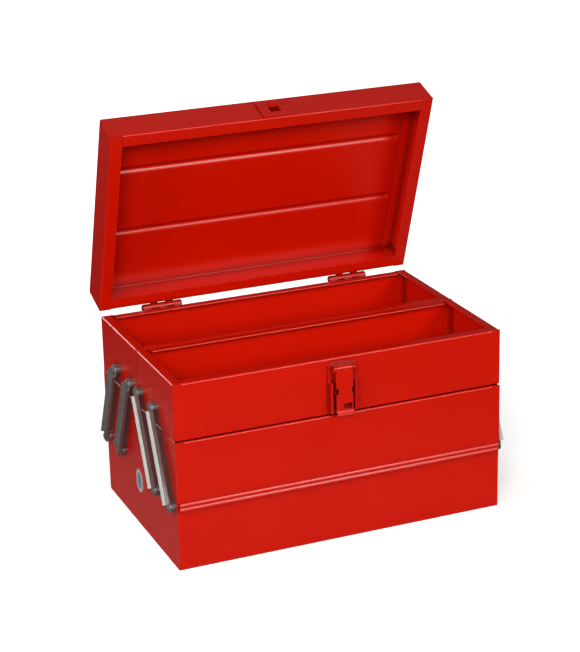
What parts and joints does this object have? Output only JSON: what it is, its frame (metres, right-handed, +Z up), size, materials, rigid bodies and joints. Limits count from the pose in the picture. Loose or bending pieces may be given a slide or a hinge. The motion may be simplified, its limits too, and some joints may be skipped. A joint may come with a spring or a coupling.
{
  "type": "toolbox",
  "caption": "Red sheet-steel cantilever toolbox with a ribbed lid standing open, top trays that swing out on plated arms, a front hasp and a folding carry handle.",
  "frame": {"origin": "middle of the base's footprint, on the floor", "axes": "+X to the right end, +Y to the back, +Z up; the hasp side faces -Y"},
  "size_m": [0.4212, 0.3021, 0.4709],
  "materials": {
    "red_enamel": "gloss red stoving enamel on sheet steel",
    "zinc_arm": "dull zinc-plated steel",
    "plated_steel": "bright zinc-plated steel",
    "grip_plastic": "black moulded plastic",
    "blank_label": "blank grey film label"
  },
  "bodies": {
    "base": {"base_shell": "red_enamel", "base_end_left": "red_enamel", "base_end_right": "red_enamel", "lower_arm_rivets": "plated_steel", "lower_arm_washers": "plated_steel", "blank_label": "blank_label"},
    "front_tray": {"front_tray_shell": "red_enamel", "front_tray_end_left": "red_enamel", "front_tray_end_right": "red_enamel", "front_tray_rivets": "plated_steel", "front_tray_washers": "plated_steel", "hasp_bracket": "red_enamel", "hasp_pin": "red_enamel"},
    "rear_tray": {"rear_tray_shell": "red_enamel", "rear_tray_end_left": "red_enamel", "rear_tray_end_right": "red_enamel", "rear_tray_rivets": "plated_steel", "rear_tray_washers": "plated_steel", "hinge_tray_leaf_left": "red_enamel", "hinge_tray_leaf_right": "red_enamel", "hinge_pins": "red_enamel"},
    "lid": {"lid_shell": "red_enamel", "lid_end_left": "red_enamel", "lid_end_right": "red_enamel", "hinge_lid_leaf_left": "red_enamel", "hinge_lid_leaf_right": "red_enamel", "lid_keeper": "red_enamel", "lid_keeper_rivets": "red_enamel", "handle_bracket_left": "plated_steel", "handle_bracket_right": "plated_steel"},
    "hasp": {"hasp_lever": "red_enamel"},
    "handle": {"handle_bail": "plated_steel", "handle_grip": "grip_plastic"},
    "arm_front_left_outer": {"arm_front_left_outer": "zinc_arm"},
    "arm_front_left_inner": {"arm_front_left_inner": "zinc_arm"},
    "arm_front_right_outer": {"arm_front_right_outer": "zinc_arm"},
    "arm_front_right_inner": {"arm_front_right_inner": "zinc_arm"},
    "arm_rear_left_outer": {"arm_rear_left_outer": "zinc_arm"},
    "arm_rear_left_inner": {"arm_rear_left_inner": "zinc_arm"},
    "arm_rear_right_outer": {"arm_rear_right_outer": "zinc_arm"},
    "arm_rear_right_inner": {"arm_rear_right_inner": "zinc_arm"}
  },
  "joints": [
    {"name": "front_arm_left_outer_swing", "type": "hinge", "parent": "base", "child": "arm_front_left_outer", "pos_m": [-0.20575, -0.1123, 0.0744], "axis": [1, 0, 0], "range_deg": [0, 50]},
    {"name": "front_arm_left_inner_swing", "type": "hinge", "parent": "base", "child": "arm_front_left_inner", "pos_m": [-0.20575, -0.0623, 0.0744], "axis": [1, 0, 0], "range_deg": [0, 50]},
    {"name": "front_arm_right_outer_swing", "type": "hinge", "parent": "base", "child": "arm_front_right_outer", "pos_m": [0.20575, -0.1123, 0.0744], "axis": [1, 0, 0], "range_deg": [0, 50]},
    {"name": "front_arm_right_inner_swing", "type": "hinge", "parent": "base", "child": "arm_front_right_inner", "pos_m": [0.20575, -0.0623, 0.0744], "axis": [1, 0, 0], "range_deg": [0, 50]},
    {"name": "front_tray_level", "type": "hinge", "parent": "arm_front_left_outer", "child": "front_tray", "pos_m": [-0.20575, -0.065, 0.1757], "axis": [1, 0, 0], "range_deg": [-50, 0]},
    {"name": "rear_arm_left_outer_swing", "type": "hinge", "parent": "base", "child": "arm_rear_left_outer", "pos_m": [-0.20575, 0.1123, 0.0744], "axis": [-1, 0, 0], "range_deg": [0, 50]},
    {"name": "rear_arm_left_inner_swing", "type": "hinge", "parent": "base", "child": "arm_rear_left_inner", "pos_m": [-0.20575, 0.0623, 0.0744], "axis": [-1, 0, 0], "range_deg": [0, 50]},
    {"name": "rear_arm_right_outer_swing", "type": "hinge", "parent": "base", "child": "arm_rear_right_outer", "pos_m": [0.20575, 0.1123, 0.0744], "axis": [-1, 0, 0], "range_deg": [0, 50]},
    {"name": "rear_arm_right_inner_swing", "type": "hinge", "parent": "base", "child": "arm_rear_right_inner", "pos_m": [0.20575, 0.0623, 0.0744], "axis": [-1, 0, 0], "range_deg": [0, 50]},
    {"name": "rear_tray_level", "type": "hinge", "parent": "arm_rear_left_outer", "child": "rear_tray", "pos_m": [-0.20575, 0.065, 0.1757], "axis": [-1, 0, 0], "range_deg": [-50, 0]},
    {"name": "lid_hinge", "type": "hinge", "parent": "rear_tray", "child": "lid", "pos_m": [0, 0.1296, 0.2226], "axis": [-1, 0, 0], "range_deg": [-70.55, 25]},
    {"name": "hasp_hinge", "type": "hinge", "parent": "front_tray", "child": "hasp", "pos_m": [0, -0.1303, 0.2105], "axis": [-1, 0, 0], "range_deg": [0, 180]},
    {"name": "handle_fold", "type": "hinge", "parent": "lid", "child": "handle", "pos_m": [0, 0.13152, 0.3586], "axis": [1, 0, 0], "range_deg": [0, 180]}
  ],
  "couplings": [
    {"joint": "front_tray_level", "follows": "front_arm_left_outer_swing", "ratio": -1},
    {"joint": "front_arm_left_inner_swing", "follows": "front_arm_left_outer_swing", "ratio": 1},
    {"joint": "front_arm_right_outer_swing", "follows": "front_arm_left_outer_swing", "ratio": 1},
    {"joint": "front_arm_right_inner_swing", "follows": "front_arm_left_outer_swing", "ratio": 1},
    {"joint": "rear_tray_level", "follows": "rear_arm_left_outer_swing", "ratio": -1},
    {"joint": "rear_arm_left_inner_swing", "follows": "rear_arm_left_outer_swing", "ratio": 1},
    {"joint": "rear_arm_right_outer_swing", "follows": "rear_arm_left_outer_swing", "ratio": 1},
    {"joint": "rear_arm_right_inner_swing", "follows": "rear_arm_left_outer_swing", "ratio": 1}
  ]
}
